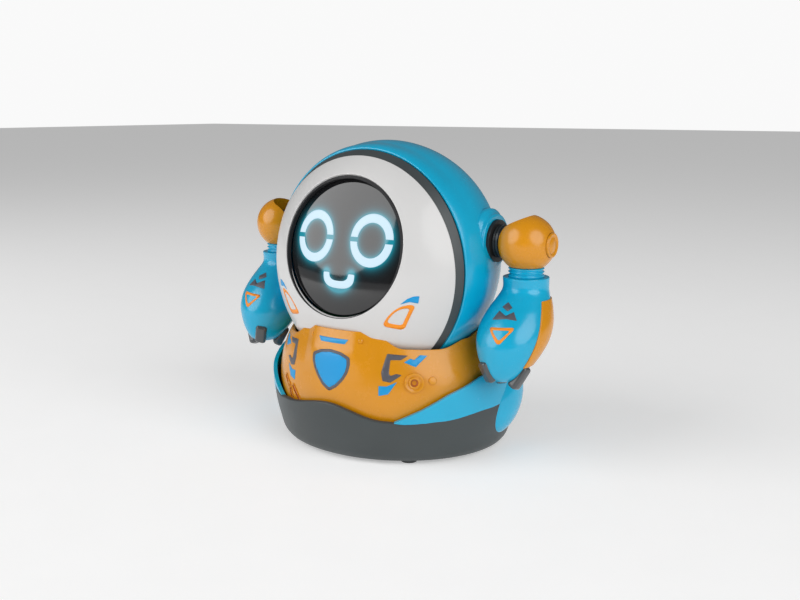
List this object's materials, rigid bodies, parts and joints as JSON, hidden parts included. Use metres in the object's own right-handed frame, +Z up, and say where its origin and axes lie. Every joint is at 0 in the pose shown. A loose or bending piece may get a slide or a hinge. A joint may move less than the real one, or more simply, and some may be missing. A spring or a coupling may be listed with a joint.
{
  "type": "educational coding robot",
  "caption": "Desk-top coding robot: round screen face in a white and blue head, orange belly, dark wheeled base and two jointed arms.",
  "frame": {"origin": "on the table under the middle of the robot, midway between the two shoulders", "axes": "+Z up, the robot faces -Y, +X is the robot's left-hand side; the body is symmetrical left to right"},
  "size_m": [0.1672, 0.1076, 0.1396],
  "materials": {
    "blue_shell": "satin gloss",
    "white_shell": "satin gloss",
    "dark_ring": "satin",
    "black_lens": "polished",
    "cyan_light": "diffuse, lit from behind",
    "black_frame": "matt",
    "orange_shell": "satin gloss",
    "dark_tub": "fine satin",
    "claw_grey": "gloss",
    "black_shaft": "satin",
    "grey_frame": "matt",
    "white_gear": "matt",
    "steel_pin": "bright",
    "board_green": "solder mask",
    "cell_wrap": "printed wrap without text",
    "rubber_tyre": "matt",
    "speaker_black": "matt"
  },
  "bodies": {
    "body": {"base_tub": "dark_tub", "battery_cells": "cell_wrap", "battery_contacts": "steel_pin", "battery_door": "dark_tub", "battery_tray": "black_frame", "bearing_block_left": "grey_frame", "bearing_block_right": "grey_frame", "belly_shell": "orange_shell", "case_screws": "steel_pin", "chassis_plate": "grey_frame", "display_board": "board_green", "face_lights": "cyan_light", "face_shell": "white_shell", "fender_left": "blue_shell", "fender_right": "blue_shell", "lens_retainer": "black_frame", "main_board": "board_green", "motor_left": "steel_pin", "motor_right": "steel_pin", "rear_shell": "blue_shell", "screen_lens": "black_lens", "seam_ring": "dark_ring", "shoulder_bush_left": "white_gear", "shoulder_bush_right": "white_gear", "skid_feet": "dark_tub", "speaker": "speaker_black", "switch_body": "black_frame", "tail_pod_left": "blue_shell", "tail_pod_right": "blue_shell"},
    "wheel_left": {"axle_left": "steel_pin", "wheel_hub_left": "grey_frame", "tyre_left": "rubber_tyre", "wheel_gear_left": "white_gear"},
    "motor_rotor_left": {"motor_pinion_left": "white_gear"},
    "shoulder_left": {"shoulder_shaft_left": "black_shaft", "shoulder_hub_left": "black_shaft"},
    "upper_arm_left": {"raise_pin_left": "steel_pin", "ball_front_left": "orange_shell", "ball_back_left": "orange_shell", "ball_cap_left": "orange_shell"},
    "forearm_left": {"neck_left": "blue_shell", "forearm_shell_left": "blue_shell", "forearm_panel_left": "orange_shell", "claws_left": "claw_grey"},
    "wheel_right": {"axle_right": "steel_pin", "wheel_hub_right": "grey_frame", "tyre_right": "rubber_tyre", "wheel_gear_right": "white_gear"},
    "motor_rotor_right": {"motor_pinion_right": "white_gear"},
    "shoulder_right": {"shoulder_shaft_right": "black_shaft", "shoulder_hub_right": "black_shaft"},
    "upper_arm_right": {"raise_pin_right": "steel_pin", "ball_front_right": "orange_shell", "ball_back_right": "orange_shell", "ball_cap_right": "orange_shell"},
    "forearm_right": {"neck_right": "blue_shell", "forearm_shell_right": "blue_shell", "forearm_panel_right": "orange_shell", "claws_right": "claw_grey"},
    "switch_knob": {"power_switch": "black_frame"}
  },
  "joints": [
    {"name": "wheel_spin_left", "type": "hinge", "parent": "body", "child": "wheel_left", "pos_m": [0.038, 0, 0.013], "axis": [1, 0, 0], "continuous": true},
    {"name": "motor_spin_left", "type": "hinge", "parent": "body", "child": "motor_rotor_left", "pos_m": [0.03, 0.01, 0.013], "axis": [1, 0, 0], "continuous": true},
    {"name": "shoulder_swing_left", "type": "hinge", "parent": "body", "child": "shoulder_left", "pos_m": [0.0684, 0, 0.0954], "axis": [1, 0, 0], "continuous": true},
    {"name": "arm_raise_left", "type": "hinge", "parent": "shoulder_left", "child": "upper_arm_left", "pos_m": [0.0684, 0, 0.0954], "axis": [0, -1, 0], "range_deg": [0, 65]},
    {"name": "forearm_twist_left", "type": "hinge", "parent": "upper_arm_left", "child": "forearm_left", "pos_m": [0.0684, 0, 0.0775], "axis": [0, 0, 1], "range_deg": [-8, 80]},
    {"name": "wheel_spin_right", "type": "hinge", "parent": "body", "child": "wheel_right", "pos_m": [-0.038, 0, 0.013], "axis": [1, 0, 0], "continuous": true},
    {"name": "motor_spin_right", "type": "hinge", "parent": "body", "child": "motor_rotor_right", "pos_m": [-0.03, 0.01, 0.013], "axis": [1, 0, 0], "continuous": true},
    {"name": "shoulder_swing_right", "type": "hinge", "parent": "body", "child": "shoulder_right", "pos_m": [-0.0684, 0, 0.0954], "axis": [1, 0, 0], "continuous": true},
    {"name": "arm_raise_right", "type": "hinge", "parent": "shoulder_right", "child": "upper_arm_right", "pos_m": [-0.0684, 0, 0.0954], "axis": [0, 1, 0], "range_deg": [0, 65]},
    {"name": "forearm_twist_right", "type": "hinge", "parent": "upper_arm_right", "child": "forearm_right", "pos_m": [-0.0684, 0, 0.0775], "axis": [0, 0, -1], "range_deg": [-8, 80]},
    {"name": "power_switch_slide", "type": "slide", "parent": "body", "child": "switch_knob", "axis": [1, 0, 0], "range_m": [0, 0.003]}
  ],
  "couplings": [
    {"joint": "motor_spin_left", "follows": "wheel_spin_left", "ratio": -3},
    {"joint": "motor_spin_right", "follows": "wheel_spin_right", "ratio": -3}
  ]
}
